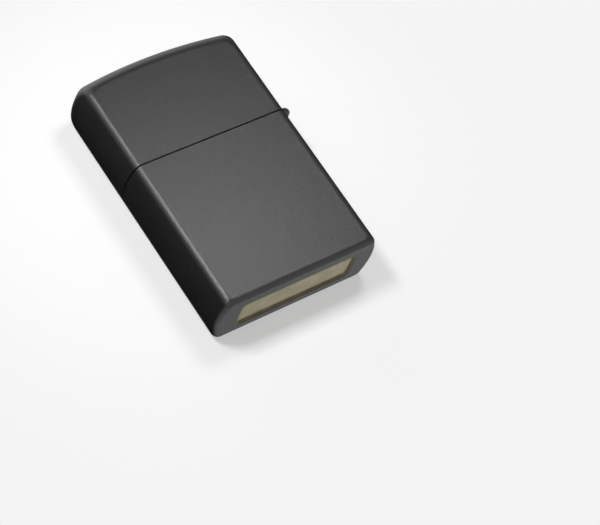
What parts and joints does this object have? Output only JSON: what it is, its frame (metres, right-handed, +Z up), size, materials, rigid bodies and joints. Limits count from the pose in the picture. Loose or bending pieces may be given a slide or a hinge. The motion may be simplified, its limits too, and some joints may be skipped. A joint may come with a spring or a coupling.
{
  "type": "flip-top pocket lighter",
  "caption": "Refillable pocket lighter with a hinged flip lid, sprung cam, striker wheel, flint feed and wick insert.",
  "frame": {"origin": "middle of the base on the plane it stands on, under the middle of the whole part", "axes": "+Z up with the lid on top, -Y towards the front face, +X towards the hinge side"},
  "size_m": [0.0374, 0.0132, 0.056],
  "materials": {
    "black_coat": "fine matt powder coat on brass",
    "steel": "satin stainless sheet",
    "dark_steel": "plain hardened steel",
    "brass": "drawn and turned",
    "flint": "dull sintered rod",
    "cotton": "loose or braided cotton",
    "felt": "pressed felt"
  },
  "bodies": {
    "case": {"case_shell": "black_coat", "case_hinge_leaf": "black_coat", "hinge_pin": "dark_steel", "insert_tank": "steel", "chimney": "steel", "wheel_rivet": "dark_steel", "cam_rivet": "dark_steel", "flint_tube": "brass", "flint_spring": "dark_steel", "flint_screw": "brass", "cam_spring": "dark_steel", "cam_spring_rivet": "dark_steel", "packing_1": "cotton", "packing_2": "cotton", "packing_3": "cotton", "packing_4": "cotton", "packing_5": "cotton", "packing_6": "cotton", "wick": "cotton", "felt_pad": "felt"},
    "lid": {"lid_shell": "black_coat", "lid_hinge_leaf": "black_coat"},
    "striker_wheel": {"striker_wheel": "dark_steel"},
    "cam": {"cam": "steel"},
    "flint": {"flint": "flint", "flint_plunger": "brass"}
  },
  "joints": [
    {"name": "lid_hinge", "type": "hinge", "parent": "case", "child": "lid", "pos_m": [0.0179, 0, 0.0334], "axis": [0, 1, 0], "range_deg": [0, 115]},
    {"name": "striker_spin", "type": "hinge", "parent": "case", "child": "striker_wheel", "pos_m": [-0.0086, 0, 0.0463], "axis": [0, 1, 0], "continuous": true},
    {"name": "cam_swing", "type": "hinge", "parent": "case", "child": "cam", "pos_m": [0.0118, 0, 0.0384], "axis": [0, -1, 0], "range_deg": [0, 10], "stiffness_Nm_per_rad": 0.002, "deforming": ["cam_spring"]},
    {"name": "flint_press", "type": "slide", "parent": "case", "child": "flint", "axis": [0, 0, -1], "range_m": [0, 0.001], "stiffness_N_per_m": 100, "deforming": ["flint_spring"]}
  ]
}
